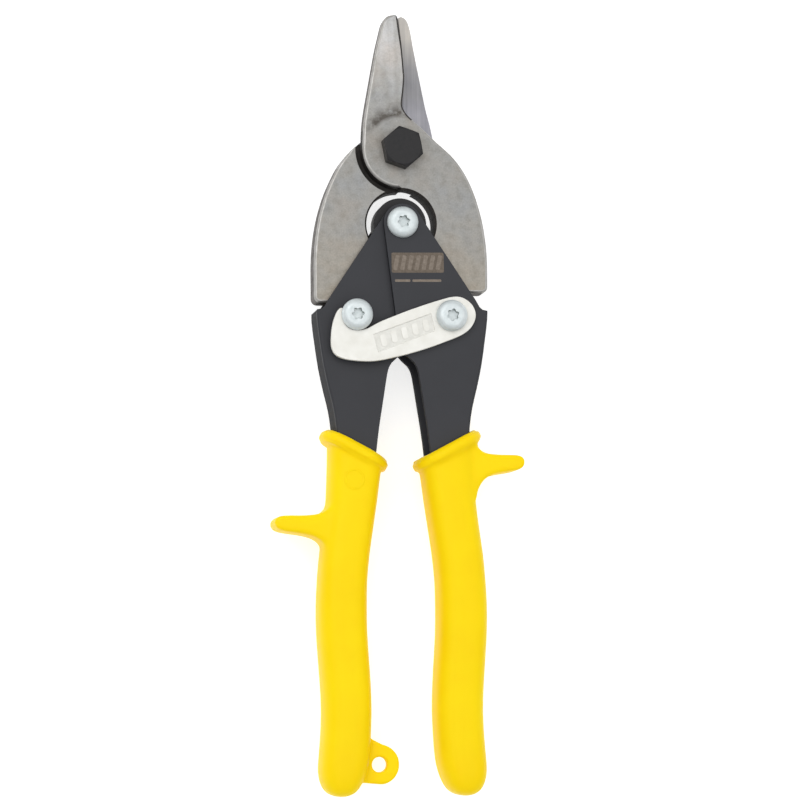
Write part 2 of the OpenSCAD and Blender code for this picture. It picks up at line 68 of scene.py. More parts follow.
class Shader:
    """A node material in the making: one principled surface and the nodes that feed it."""

    def __init__(self, name, **sockets):
        self.mat = bpy.data.materials.new(name)
        self.mat.use_nodes = True
        self.tree = self.mat.node_tree
        self.surface = self.tree.nodes["Principled BSDF"]
        for socket, value in sockets.items():
            self.surface.inputs[socket.replace("_", " ")].default_value = value
        self.at = self.tree.nodes.new("ShaderNodeTexCoord").outputs["Object"]

    def node(self, kind, inputs=(), **settings):
        """A node with its settings, and each input linked to a socket or set to a value."""
        made = self.tree.nodes.new(kind)
        for key, value in settings.items():
            setattr(made, key, value)
        for key, value in dict(inputs).items():
            if isinstance(value, bpy.types.NodeSocket):
                self.tree.links.new(value, made.inputs[key])
            else:
                made.inputs[key].default_value = value
        return made

    def from_pivot(self):
        """Across, along and height from the blade pivot, and the distance from its axis, all in metres."""
        away = self.node("ShaderNodeVectorMath", {0: self.at, 1: BLADE_PIVOT}, operation="SUBTRACT").outputs[0]
        flat = self.node("ShaderNodeVectorMath", {0: away, 1: (1, 1, 0)}, operation="MULTIPLY").outputs[0]
        radius = self.node("ShaderNodeVectorMath", {0: flat}, operation="LENGTH").outputs["Value"]
        parts = self.node("ShaderNodeSeparateXYZ", {0: away}).outputs
        return parts[0], parts[1], parts[2], radius

    def noise(self, scale, detail=4.0, rough=0.5, stretch=(1, 1, 1), seed=(0, 0, 0)):
        """Noise with features about 1/scale metres across, drawn out along an axis by a small stretch."""
        place = self.node("ShaderNodeMapping", {"Vector": self.at, "Scale": stretch, "Location": seed})
        return self.node("ShaderNodeTexNoise", {"Vector": place.outputs[0], "Scale": scale, "Detail": detail,
                                                "Roughness": rough}).outputs["Fac"]

    def ramp(self, fac, *stops):
        """Colours or greys by position along fac."""
        made = self.node("ShaderNodeValToRGB", {"Fac": fac})
        ramp = made.color_ramp
        while len(ramp.elements) < len(stops):
            ramp.elements.new(0.5)
        for element, (where, colour) in zip(ramp.elements, stops):
            element.position = where
            element.color = colour if len(colour) == 4 else (*colour, 1)
        return made.outputs["Color"]

    def grey(self, fac, low, high, start=0.3, end=0.7):
        """A number that goes from low to high as fac goes from start to end, and stays level outside."""
        return self.node("ShaderNodeMapRange", {"Value": fac, "From Min": start, "From Max": end,
                                                "To Min": low, "To Max": high}).outputs["Result"]

    def mix(self, fac, a, b, blend="MIX"):
        """Colour a towards b; either may be a socket or a plain colour."""
        made = self.node("ShaderNodeMix", data_type="RGBA", blend_type=blend)
        for socket, value in ((made.inputs[0], fac), (made.inputs[6], a), (made.inputs[7], b)):
            if isinstance(value, bpy.types.NodeSocket):
                self.tree.links.new(value, socket)
            else:
                socket.default_value = value if not isinstance(value, tuple) or len(value) == 4 else (*value, 1)
        return made.outputs[2]

    def math(self, operation, a, b=0.0, c=0.0):
        """One step of arithmetic on sockets or plain numbers."""
        made = self.node("ShaderNodeMath", operation=operation)
        for socket, value in zip(made.inputs, (a, b, c)):
            if isinstance(value, bpy.types.NodeSocket):
                self.tree.links.new(value, socket)
            else:
                socket.default_value = value
        return made.outputs[0]

    def feed(self, socket, value):
        """Let a node's output drive one of the surface's sockets."""
        self.tree.links.new(value, self.surface.inputs[socket])

    def bump(self, height, distance_mm, strength=1.0):
        """A relief on top of those that are there already."""
        made = self.node("ShaderNodeBump", {"Height": height, "Distance": distance_mm * MM,
                                            "Strength": strength})
        before = self.surface.inputs["Normal"].links
        if before:
            self.tree.links.new(before[0].from_socket, made.inputs["Normal"])
        self.feed("Normal", made.outputs[0])


def blade_steel():
    """Forged, tumbled tool steel: soft grey with faint brown and blue mottling, a painted sheen streaked up the
    jaws, browner down the tails, and with dark pits left where the jaw's hollow grinding runs out above the bolt."""
    s = Shader("blade_steel", Metallic=0.6, Roughness=0.42)
    _, along, _, radius = s.from_pivot()
    broad = s.noise(70, 3, 0.55)
    cloud = s.noise(420, 5, 0.6, seed=(3, 1, 7))
    grain = s.noise(1900, 4, 0.65)
    base = s.ramp(broad, (0.34, (0.300, 0.281, 0.254)), (0.5, (0.300, 0.296, 0.281)),
                  (0.66, (0.281, 0.288, 0.291)))
    dirt = s.ramp(cloud, (0.28, (0.86, 0.85, 0.83)), (0.52, (1.0, 1.0, 1.0)), (0.75, (1.05, 1.045, 1.04)))
    specks = s.ramp(grain, (0.34, (0.89, 0.89, 0.90)), (0.62, (1.04, 1.04, 1.04)))
    steel = s.mix(1.0, s.mix(1.0, base, dirt, "MULTIPLY"), specks, "MULTIPLY")
    # painted sheen: up the jaws the steel is lightened and streaked along its length, standing in for a highlight
    streaks = s.noise(330, 3, 0.5, stretch=(1, 0.1, 1), seed=(2, 0, 4))
    sheen = s.ramp(streaks, (0.32, (1.30, 1.28, 1.26)), (0.52, (1.62, 1.62, 1.66)),
                   (0.68, (1.95, 1.96, 2.05)))
    up_the_jaw = s.grey(along, 0.0, 1.0, 0.007, 0.034)
    steel = s.mix(up_the_jaw, steel, s.mix(1.0, steel, sheen, "MULTIPLY"))
    down_the_tail = s.grey(along, 0.0, 1.0, -0.018, -0.042)
    steel = s.mix(down_the_tail, steel, s.mix(1.0, steel, (1.05, 0.98, 0.88, 1), "MULTIPLY"))
    band = s.math("MULTIPLY", s.grey(radius, 0.0, 1.0, 0.0095, 0.0108),
                  s.grey(radius, 1.0, 0.0, 0.0116, 0.0150))
    run_out = s.math("MULTIPLY", band, s.grey(along, 0.0, 1.0, 0.0045, 0.0070))
    pits = s.math("MULTIPLY", run_out, s.grey(s.noise(300, 4, 0.6, seed=(1, 8, 2)), 0.0, 0.86, 0.36, 0.58))
    steel = s.mix(pits, steel, (0.060, 0.050, 0.040, 1))
    s.feed("Base Color", steel)
    s.feed("Roughness", s.grey(cloud, 0.48, 0.37))
    s.bump(grain, 0.03, 0.6)
    s.bump(broad, 0.05, 0.3)
    return s.mat


def rim_highlight_steel():
    """The blades' rounded edges, painted brighter than the faces as an edge highlight."""
    s = Shader("rim_highlight_steel", Metallic=0.65, Roughness=0.38)
    cloud = s.noise(420, 4, 0.6)
    s.feed("Base Color", s.ramp(cloud, (0.3, (0.34, 0.33, 0.31)), (0.7, (0.44, 0.43, 0.415))))
    s.feed("Roughness", s.grey(cloud, 0.46, 0.34))
    s.bump(s.noise(1900, 4, 0.65), 0.02, 0.5)
    return s.mat


def ground_steel():
    """The ground lap face: a little bluer, with fine lines along the jaw, and paler towards the tip."""
    s = Shader("ground_steel", Metallic=0.75, Roughness=0.36)
    lines = s.noise(1500, 4, 0.6, stretch=(1, 0.035, 1))
    cloud = s.noise(120, 3, 0.5)
    base = s.ramp(cloud, (0.3, (0.218, 0.217, 0.230)), (0.7, (0.268, 0.264, 0.270)))
    scratches = s.ramp(lines, (0.3, (0.86, 0.86, 0.87)), (0.7, (1.05, 1.05, 1.05)))
    steel = s.mix(1.0, base, scratches, "MULTIPLY")
    along = s.from_pivot()[1]
    paler = s.grey(along, 0.0, 1.0, 0.026, 0.036)
    steel = s.mix(paler, steel, s.mix(1.0, steel, (1.85, 1.77, 1.58, 1), "MULTIPLY"))
    root = s.grey(along, 1.0, 0.0, 0.012, 0.018)
    s.feed("Base Color", s.mix(root, steel, s.mix(1.0, steel, (1.22, 1.22, 1.27, 1), "MULTIPLY")))
    s.feed("Roughness", s.grey(lines, 0.44, 0.32))
    s.bump(lines, 0.01, 0.5)
    return s.mat


def side_shade_steel():
    """The blades' sides and hollows, painted dark as the shade that falls on them."""
    s = Shader("side_shade_steel", Metallic=0.4, Roughness=0.6)
    cloud = s.noise(500, 5, 0.6)
    s.feed("Base Color", s.ramp(cloud, (0.3, (0.050, 0.043, 0.038)), (0.7, (0.100, 0.088, 0.080))))
    s.feed("Roughness", s.grey(cloud, 0.70, 0.50))
    s.bump(s.noise(1900, 3, 0.6), 0.03, 0.6)
    return s.mat


def deep_shade_steel():
    """Painted shade in the window, the boss relief and along the cutting edge: nearly black."""
    s = Shader("deep_shade_steel", Metallic=0.2, Roughness=0.7)
    cloud = s.noise(500, 5, 0.6)
    s.feed("Base Color", s.ramp(cloud, (0.3, (0.016, 0.013, 0.011)), (0.7, (0.034, 0.029, 0.025))))
    s.bump(cloud, 0.03, 0.6)
    return s.mat


def coated_steel():
    """Dark grey coating on pressed sheet: slightly textured, a little glossier where hands rub it."""
    s = Shader("coated_steel", Metallic=0.0, Roughness=0.45)
    s.surface.inputs["Specular IOR Level"].default_value = 0.3
    fine = s.noise(1800, 4, 0.6)
    broad = s.noise(70, 3, 0.5, seed=(5, 2, 0))
    s.feed("Base Color", s.ramp(broad, (0.3, (0.026, 0.027, 0.032)), (0.7, (0.033, 0.034, 0.040))))
    s.feed("Roughness", s.grey(broad, 0.42, 0.52))
    s.bump(fine, 0.015, 0.5)
    return s.mat


def coated_side_shade():
    """The same coating on the channel's walls and sheared edges, painted darker as shade, and dull."""
    s = Shader("coated_side_shade", Metallic=0.0, Roughness=0.7)
    s.surface.inputs["Specular IOR Level"].default_value = 0.12
    fine = s.noise(1800, 4, 0.6)
    s.feed("Base Color", s.ramp(fine, (0.3, (0.018, 0.018, 0.021)), (0.7, (0.026, 0.027, 0.031))))
    s.feed("Roughness", s.grey(fine, 0.65, 0.78))
    s.bump(fine, 0.015, 0.5)
    return s.mat


def zinc_plate():
    """Bright zinc plating, bluish white, with the faint haze of passivation."""
    s = Shader("zinc_plate", Metallic=0.45, Roughness=0.5)
    haze = s.noise(700, 4, 0.6)
    fine = s.noise(4200, 2, 0.5)
    s.feed("Base Color", s.ramp(haze, (0.3, (0.60, 0.66, 0.67)), (0.7, (0.70, 0.75, 0.76))))
    s.feed("Roughness", s.grey(haze, 0.55, 0.45))
    s.bump(fine, 0.006, 0.4)
    return s.mat


def recess_shade():
    """Inside a key recess: its walls painted darker as shade."""
    s = Shader("recess_shade", Metallic=0.5, Roughness=0.5)
    haze = s.noise(1200, 3, 0.6)
    s.feed("Base Color", s.ramp(haze, (0.3, (0.20, 0.225, 0.20)), (0.7, (0.30, 0.33, 0.30))))
    s.bump(haze, 0.01, 0.4)
    return s.mat


def black_oxide():
    """Oiled black oxide: nearly black, with a fine grain."""
    s = Shader("black_oxide", Metallic=0.3, Roughness=0.5)
    cloud = s.noise(900, 4, 0.6)
    s.feed("Base Color", s.ramp(cloud, (0.3, (0.007, 0.007, 0.008)), (0.7, (0.017, 0.016, 0.017))))
    s.feed("Roughness", s.grey(cloud, 0.44, 0.58))
    s.bump(s.noise(3200, 3, 0.6), 0.012, 0.5)
    return s.mat


def latch_plate():
    """Pale plated and sealed steel: nearly white, with a barely textured surface."""
    s = Shader("latch_plate", Metallic=0.15, Roughness=0.42)
    cloud = s.noise(220, 4, 0.55)
    s.feed("Base Color", s.ramp(cloud, (0.3, (0.75, 0.74, 0.685)), (0.7, (0.83, 0.825, 0.78))))
    s.feed("Roughness", s.grey(cloud, 0.48, 0.36))
    s.bump(s.noise(1500, 4, 0.6), 0.02, 0.5)
    return s.mat


def latch_panel():
    """The floor of the latch's pressed-in panel, a little darker and greyer than the plate."""
    s = Shader("latch_panel", Metallic=0.15, Roughness=0.5)
    cloud = s.noise(600, 4, 0.6)
    s.feed("Base Color", s.ramp(cloud, (0.3, (0.67, 0.665, 0.62)), (0.7, (0.77, 0.765, 0.72))))
    s.bump(cloud, 0.02, 0.5)
    return s.mat


def etched_brown():
    """A mark etched through the coating: dull brown, thinner in places."""
    s = Shader("etched_brown", Metallic=0.2, Roughness=0.6)
    paler = s.noise(900, 4, 0.7)
    s.feed("Base Color", s.ramp(paler, (0.3, (0.090, 0.070, 0.050)), (0.7, (0.165, 0.130, 0.100))))
    s.bump(paler, 0.01, 0.5)
    return s.mat


def etched_pale():
    """The shallower strokes of the mark, where more bare metal shows."""
    s = Shader("etched_pale", Metallic=0.3, Roughness=0.55)
    paler = s.noise(1100, 4, 0.7, seed=(2, 5, 1))
    s.feed("Base Color", s.ramp(paler, (0.3, (0.150, 0.120, 0.092)), (0.7, (0.235, 0.195, 0.160))))
    s.bump(paler, 0.01, 0.5)
    return s.mat


def spring_steel():
    """Bright drawn wire, with faint lines along its draw."""
    s = Shader("spring_steel", Metallic=1.0, Roughness=0.32)
    drawn = s.noise(900, 3, 0.5, stretch=(0.2, 1, 1))
    s.feed("Base Color", s.ramp(drawn, (0.3, (0.42, 0.43, 0.45)), (0.7, (0.55, 0.56, 0.58))))
    s.feed("Roughness", s.grey(drawn, 0.38, 0.26))
    return s.mat


def grip_plastic():
    """Moulded yellow plastic: semi-gloss, with the very fine spark texture of its mould, the line where the
    mould's halves met and, near the left grip's mouth, the round mark of a mould insert."""
    s = Shader("grip_plastic", Metallic=0.0, Roughness=0.45)
    s.surface.inputs["Specular IOR Level"].default_value = 0.10
    s.surface.inputs["Subsurface Weight"].default_value = 0.12
    s.surface.inputs["Subsurface Radius"].default_value = (0.0030, 0.0018, 0.0003)
    s.surface.inputs["Subsurface Scale"].default_value = 1.0
    broad = s.noise(60, 3, 0.5)
    s.feed("Base Color", s.ramp(broad, (0.3, (0.975, 0.680, 0.002)), (0.7, (1.0, 0.725, 0.003))))
    s.feed("Roughness", s.grey(broad, 0.40, 0.48))
    s.bump(s.noise(2400, 3, 0.6), 0.012, 0.45)
    height = s.from_pivot()[2]
    parting = s.grey(s.math("ABSOLUTE", height), 1.0, 0.0, 0.00008, 0.00028)
    s.bump(parting, 0.08, 0.8)
    away = s.node("ShaderNodeVectorMath", {0: s.at, 1: local(*INSERT_MARK)}, operation="DISTANCE")
    past_ring = s.math("ABSOLUTE", s.math("SUBTRACT", away.outputs["Value"], INSERT_RADIUS * MM))
    s.bump(s.grey(past_ring, 1.0, 0.0, 0.00015, 0.0004), 0.12, 0.9)
    return s.mat


def nylon():
    """The lock nut's ring: pale, slightly uneven nylon."""
    s = Shader("nylon", Metallic=0.0, Roughness=0.5)
    s.feed("Base Color", s.ramp(s.noise(600, 3), (0.3, (0.66, 0.69, 0.67)), (0.7, (0.76, 0.78, 0.76))))
    s.bump(s.noise(2500, 3), 0.01, 0.4)
    return s.mat


MATERIALS = {make.__name__: make() for make in (
    blade_steel, rim_highlight_steel, ground_steel, side_shade_steel, deep_shade_steel, coated_steel, coated_side_shade, zinc_plate,
    recess_shade, black_oxide, latch_plate, latch_panel, etched_brown, etched_pale, spring_steel, grip_plastic,
    nylon)}


# ---------- mesh helpers ----------

FLAT = 0.9                      # a flat face's normal has at least this much z, up or down
WALL = 0.5                      # a wall's has at most this much
STEEP = 0.3                     # and an upright wall's at most this much
ON_LAP = 0.3                    # mm, how near the lap plane the middle of a face on it lies
WELD = 1e-6                     # m, points nearer than this are one
WIDEST = 1.0                    # mm, the bevel that an edge weight of 1 stands for

# What an edge loses, in millimetres
BROKEN = 0.2
BROKEN_ON_LAP = 0.15
BROKEN_LATCH = 0.3
BROKEN_HEXAGON = 0.15
BROKEN_SMALL = 0.08


def finish_piece(piece, *nodes, more_materials=()):
    """The piece stands for the CAD nodes: it rides on their body and takes the first one's finish."""
    slot = SLOT_OF[nodes[0]]
    for name in (slot, *more_materials):
        piece.data.materials.append(MATERIALS[name])
    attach(piece, BODY_OF[nodes[0]])
    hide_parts(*nodes)
    return piece


def new_piece(name, bm):
    """An object in the scene with the mesh that was built."""
    mesh = bpy.data.meshes.new(name)
    bm.to_mesh(mesh)
    bm.free()
    piece = bpy.data.objects.new(name, mesh)
    bpy.context.scene.collection.objects.link(piece)
    return piece


def smooth_by_angle(bm, degrees):
    """Smooth shading, but for edges that turn by more than the angle."""
    limit = math.radians(degrees)
    for face in bm.faces:
        face.smooth = True
    for edge in bm.edges:
        edge.smooth = len(edge.link_faces) == 2 and edge.calc_face_angle(0) < limit


def clean_copy(*nodes):
    """The CAD nodes' surfaces with their flat faces whole again."""
    bm = bmesh.new()
    for node in nodes:
        bm.from_mesh(NODES[node].data)
    bmesh.ops.remove_doubles(bm, verts=bm.verts, dist=WELD)
    bmesh.ops.dissolve_limit(bm, angle_limit=math.radians(0.5), verts=bm.verts, edges=bm.edges,
                             use_dissolve_boundaries=False)
    bmesh.ops.recalc_face_normals(bm, faces=bm.faces)
    return bm


def weigh_normals(piece):
    """Shade the large flat faces flat, next to their rounded edges."""
    mod = piece.modifiers.new("flat_faces_stay_flat", "WEIGHTED_NORMAL")
    mod.keep_sharp = True
    mod.weight = 80


def middle_of(edge):
    """The edge's middle in millimetres from the blade pivot, on the plane where the blades meet."""
    return ((edge.verts[0].co + edge.verts[1].co) / 2 - BLADE_PIVOT) / MM


def edge_facts(edge):
    """The edge's middle, and the normals of the flatter and the steeper of its two faces."""
    flat, wall = sorted((face.normal for face in edge.link_faces), key=lambda normal: -abs(normal.z))
    return middle_of(edge), flat, wall


def part_lap_faces(bm, y_mm):
    """Part the faces on the lap plane along a line across the blade."""
    lap = [face for face in bm.faces if abs(face.calc_center_median().z - BLADE_PIVOT.z) < ON_LAP * MM]
    edges = dict.fromkeys(edge for face in lap for edge in face.edges)
    corners = dict.fromkeys(corner for face in lap for corner in face.verts)
    bmesh.ops.bisect_plane(bm, geom=[*lap, *edges, *corners], dist=WELD, plane_co=local(0, y_mm),
                           plane_no=(0, 1, 0))


def bevelled(node, width_mm, segments=3, sharp=24, smooth=40, zone=None, more_materials=(), cut_y=None,
             roundings=()):
    """A copy of the CAD node with its edges broken. width_mm is a number, or a function of an edge's middle.
    zone gives the place in the list of materials by a face's middle and normal. Both middles are in millimetres
    from the blade pivot. Faces on the lap plane are parted at cut_y, so that each half has a zone of its own.
    Each of the roundings is a width in millimetres, its steps, its place in the list of materials, and a test of
    an edge's facts. They are cut first, so that they keep their full width beside short edges. The edges left
    that turn by more than sharp degrees are then broken by width_mm."""
    bm = clean_copy(node)
    if cut_y is not None:
        part_lap_faces(bm, cut_y)
    smooth_by_angle(bm, smooth)
    if zone:
        for face in bm.faces:
            face.material_index = zone((face.calc_center_median() - BLADE_PIVOT) / MM, face.normal)
    for width, steps, material, wanted in roundings:
        edges = [edge for edge in bm.edges if len(edge.link_faces) == 2 and wanted(*edge_facts(edge))]
        bmesh.ops.bevel(bm, geom=edges, offset=width * MM, offset_type="OFFSET", segments=steps, profile=0.5,
                        affect="EDGES", material=material, clamp_overlap=False)
    smooth_by_angle(bm, smooth)
    weight = bm.edges.layers.float.new("bevel_weight_edge")
    for edge in bm.edges:
        if len(edge.link_faces) == 2 and edge.calc_face_angle(0) > math.radians(sharp):
            edge[weight] = (width_mm(middle_of(edge)) if callable(width_mm) else width_mm) / WIDEST
    piece = new_piece(node + "_shape", bm)
    mod = piece.modifiers.new("broken_edges", "BEVEL")
    mod.limit_method = "WEIGHT"
    mod.width = WIDEST * MM
    mod.segments = segments
    mod.miter_outer = "MITER_ARC"
    mod.use_clamp_overlap = True
    if zone:
        mod.material = 0
    weigh_normals(piece)
    return finish_piece(piece, node, more_materials=more_materials)


# ---------- blades ----------

# All in millimetres from the blade pivot. x times z is below 0 on the side of a blade's own jaw.
HANDLE_PIVOT = (0, -23.1)
WINDOW_R = 10.5
RELIEF_R = 13.9
RELIEF_TOP = 6
BOSS_R = 11.9
BOSS_TOP = 1.5                  # here the boss turns into the back of the jaw
JAW_FOOT = 2.2                  # here the ground lap face turns into the floor of the boss relief, which is painted dark as shade
JAW_TIP = 41
EDGE_FOOT = 9                   # the cutting edge runs from here to the tip
EDGE_REACH = 3.6                # and lies within this of the middle line
SHOULDER_FOOT = 2.3             # the shoulder runs from here up to the cutting edge
TAIL_TOP = -6                   # below this a tail's outer edge
TAIL_REACH = 12.5               # lies beyond this
OUTER_FACE = 3                  # the blades' outer faces lie further than this from the lap plane
LAP_EDGE = 0.5                  # the edges of the lap faces lie within this of the lap plane
KEEN_FOOT = 13                  # above this the lap faces' edges
KEEN_REACH = 2.7                # within this of the middle line stay sharp
DARK_FOOT = 24                  # above this the cutting edge's side within this of the middle line is painted dark as shade
DARK_REACH = 2.6                # within this of the middle line is dark
NEAR = 0.3                      # how close to a round wall's radius its faces' middles lie
CHAMFER = 0.55
RIM = 0.8
RIM_STEPS = 4                   # 22.5 degrees each, under the angle that the last pass breaks

# the blades' finishes after the tumbled steel: ground lap faces, painted side shade, painted deep shade and the
# painted edge highlight
BLADE_FINISHES = ("ground_steel", "side_shade_steel", "deep_shade_steel", "rim_highlight_steel")
TUMBLED, GROUND, SIDE_SHADE, DEEP_SHADE, RIM_HIGHLIGHT = range(5)


def from_pivots(mid):
    """How far a point lies from the blade pivot's axis and from the handle pivot's."""
    return math.hypot(mid.x, mid.y), math.hypot(mid.x - HANDLE_PIVOT[0], mid.y - HANDLE_PIVOT[1])


def blade_width(mid):
    """Edges lose a little, and less on the lap plane. The relief's edges and the cutting edge stay sharp."""
    at_lap = abs(mid.z) < LAP_EDGE
    beside_relief = abs(from_pivots(mid)[0] - RELIEF_R) < 0.4
    if beside_relief or at_lap and abs(mid.x) < KEEN_REACH and mid.y > KEEN_FOOT:
        return 0.0
    return BROKEN_ON_LAP if at_lap else BROKEN


def blade_zone(mid, normal):
    """Tumbled outer faces, ground lap faces, and sides and hollows painted dark as shade."""
    from_bolt, from_handles = from_pivots(mid)
    in_window = from_handles < WINDOW_R + NEAR
    in_relief = from_bolt < RELIEF_R + NEAR and mid.y < RELIEF_TOP
    if abs(normal.z) < STEEP and (in_window or in_relief):
        return DEEP_SHADE
    if abs(mid.z) < ON_LAP and abs(normal.z) > FLAT:
        return GROUND if mid.y > JAW_FOOT else DEEP_SHADE
    if abs(mid.x) < DARK_REACH and mid.y > DARK_FOOT and abs(normal.x) > 0.5:
        return DEEP_SHADE
    return SIDE_SHADE if abs(normal.z) < WALL else TUMBLED


def on_outer_face(mid, flat, wall):
    """True of an edge between an outer face and a wall."""
    return abs(flat.z) > FLAT and abs(wall.z) < WALL and abs(mid.z) > OUTER_FACE


def shade_chamfer(mid, flat, wall):
    """The window's rim and the jaw's cutting edge, whose chamfers are painted dark as shade."""
    on_rim = abs(from_pivots(mid)[1] - WINDOW_R) < 0.2
    along_jaw = abs(mid.x) < EDGE_REACH and EDGE_FOOT < mid.y < JAW_TIP
    cutting = along_jaw and wall.x * mid.z > -0.1 * abs(mid.z)
    return on_outer_face(mid, flat, wall) and (on_rim or cutting)


def highlight_rim(mid, flat, wall):
    """The edges that take the painted edge highlight: the back of the jaw, the boss, the shoulder beside the bolt
    and the outer edge of the tail.
    """
    if not on_outer_face(mid, flat, wall) or flat.z * mid.z < 0:
        return False
    from_bolt, from_handles = from_pivots(mid)
    jaw_side = mid.x * mid.z
    back = mid.y > BOSS_TOP and jaw_side < -1.5 * abs(mid.z) and wall.x * mid.z < 0
    boss = abs(from_bolt - BOSS_R) < 0.1 and mid.y < BOSS_TOP and jaw_side < 0
    outward = wall.x * mid.x + wall.y * mid.y > 0
    shoulder = outward and jaw_side > 0 and SHOULDER_FOOT < mid.y < EDGE_FOOT
    past_boss = from_bolt > (BOSS_R + 0.1 if jaw_side > 0 else RELIEF_R + 0.6)
    past_window = from_handles > WINDOW_R + 3
    on_tail = mid.y <= SHOULDER_FOOT and (mid.y > TAIL_TOP or abs(mid.x) > TAIL_REACH)
    return back or boss or shoulder or outward and past_boss and past_window and on_tail


# the chamfers of the window's rim and the cutting edge take the painted deep shade, the rounded rims the painted
# edge highlight
for blade in ("blade_front", "blade_rear"):
    bevelled(blade, blade_width, zone=blade_zone, cut_y=JAW_FOOT, more_materials=BLADE_FINISHES,
             roundings=((CHAMFER, 1, DEEP_SHADE, shade_chamfer), (RIM, RIM_STEPS, RIM_HIGHLIGHT, highlight_rim)))


# ---------- handles and latch ----------

PLATE_TOP = 7.7                 # front face of the right handle
WEB_X = 19.5                    # the webs lie beyond this
WEB_ENDS = (-100, -51)          # from the grip's mouth to the upper end, along the tool
WEB_BEND = 0.9
LATCH_TOP = 9.75
PANEL_DEEP = 0.35


def channel_zone(mid, normal):
    """0 faces, 1 walls and sheared edges, which take the coating's copy painted darker as shade."""
    return int(abs(normal.z) < WALL)


def web_bend(mid, flat, wall):
    """The two bends between a channel's plates and its web, down to the grip's mouth."""
    between = abs(flat.z) > FLAT and abs(wall.z) < STEEP and wall.x * mid.x > 0
    return between and abs(mid.x) > WEB_X and WEB_ENDS[0] < mid.y < WEB_ENDS[1]


def latch_zone(mid, normal):
    """0 the plate, 1 the floor of its pressed panel."""
    return int(normal.z > FLAT and mid.z < LATCH_TOP - PANEL_DEEP / 2)


# the handles' walls and sheared edges take the coating's copy painted darker as shade
for handle in ("handle_left", "handle_right"):
    bevelled(handle, BROKEN, zone=channel_zone, more_materials=("coated_side_shade",),
             roundings=((WEB_BEND, RIM_STEPS, 0, web_bend),))
bevelled("latch", BROKEN_LATCH, zone=latch_zone, more_materials=("latch_panel",))


# ---------- screws, bolt and nuts ----------

RECESS_R = 2.0                  # the walls of a screw's key recess lie within this of its axis
RECESS_DEEP = 1.8


def head_zone(node):
    """The zones of a screw: 0 the plated outside, 1 the walls of its key recess, painted darker as shade."""
    low, high = (Vector(corner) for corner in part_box(node))
    axis = ((low + high) / 2 - BLADE_PIVOT) / MM
    top = (high.z - BLADE_PIVOT.z) / MM

    def zone(mid, normal):
        inside = math.hypot(mid.x - axis.x, mid.y - axis.y) < RECESS_R
        return int(inside and abs(normal.z) < WALL and top - RECESS_DEEP < mid.z < top)
    return zone


for node in ("pivot_bolt", "pivot_nut"):
    bevelled(node, BROKEN_HEXAGON, segments=2)
for node in ("handle_pivot_screw", "link_screw_left", "link_screw_right"):
    bevelled(node, BROKEN_SMALL, segments=2, zone=head_zone(node), more_materials=("recess_shade",))
for node in ("handle_pivot_nut", "link_nut_left", "link_nut_right", "pivot_washer", "latch_standoff",
             "latch_washer", "handle_pivot_spacer", "handle_pivot_sleeve", "link_bush_left", "link_bush_right",
             "latch_bush", "pivot_nut_ring"):
    bevelled(node, BROKEN_SMALL, segments=2)


# ---------- grips ----------

def evaluated(piece):
    """The piece's mesh as its modifiers leave it."""
    graph = bpy.context.evaluated_depsgraph_get()
    return bpy.data.meshes.new_from_object(piece.evaluated_get(graph))


VOXEL = 0.45                    # mm, like the lengths that follow
ROOT_REACH = 11                 # a guard's fillets fade out at this distance from its root
ROOT_FADE = 4
GUARD_X = 27                    # the guards' outer halves start here
GUARD_FADE = 3
GRIP_SMOOTHING = (              # name, turns, where
    ("round_edges", 8, ""),
    ("fillets", 50, "guard_root"),
    ("round_guard", 25, "guard"),
)
GUARD_ROOT_LEFT = (-23.5, -116)
GUARD_ROOT_RIGHT = (23.5, -98)


def share(value, fade):
    """0 to 1 as a length in metres goes from 0 to so many millimetres."""
    return max(0.0, min(1.0, value / (fade * MM)))


def moulded(nodes, root_mm):
    """A grip as moulded: one skin with round edges, with wide fillets at its finger guard's root and a round
    tip."""
    draft = new_piece(nodes[0] + "_draft", clean_copy(*nodes))
    skin = draft.modifiers.new("skin", "REMESH")
    skin.mode = "VOXEL"
    skin.voxel_size = VOXEL * MM
    mesh = evaluated(draft)
    bpy.data.objects.remove(draft)
    piece = bpy.data.objects.new(nodes[0] + "_moulding", mesh)
    bpy.context.scene.collection.objects.link(piece)
    root = local(*root_mm)
    near = piece.vertex_groups.new(name="guard_root")
    outer = piece.vertex_groups.new(name="guard")
    for v in mesh.vertices:
        away = math.hypot(v.co.x - root.x, v.co.y - root.y)
        near.add([v.index], share(ROOT_REACH * MM - away, ROOT_FADE), "REPLACE")
        outer.add([v.index], share(abs(v.co.x) - GUARD_X * MM, GUARD_FADE), "REPLACE")
    for name, turns, group in GRIP_SMOOTHING:
        mod = piece.modifiers.new(name, "SMOOTH")
        mod.factor = 0.5
        mod.iterations = turns
        mod.vertex_group = group
    for face in mesh.polygons:
        face.use_smooth = True
    return finish_piece(piece, *nodes)


moulded(("grip_left", "hang_lug"), GUARD_ROOT_LEFT)
moulded(("grip_right",), GUARD_ROOT_RIGHT)


# ---------- the etched mark and the latch's ribs, kept plain ----------

def slab_of_outlines(name, outlines, z_low, z_high):
    """Flat shapes of one height; an outline is a list of (x, y) in millimetres from the blade pivot."""
    bm = bmesh.new()
    for outline in outlines:
        face = bm.faces.new([bm.verts.new(local(x, y, z_low)) for x, y in outline])
        raised = bmesh.ops.extrude_face_region(bm, geom=[face])
        for item in raised["geom"]:
            if isinstance(item, bmesh.types.BMVert):
                item.co.z = local(0, 0, z_high).z
    bmesh.ops.recalc_face_normals(bm, faces=bm.faces)
    return new_piece(name, bm)


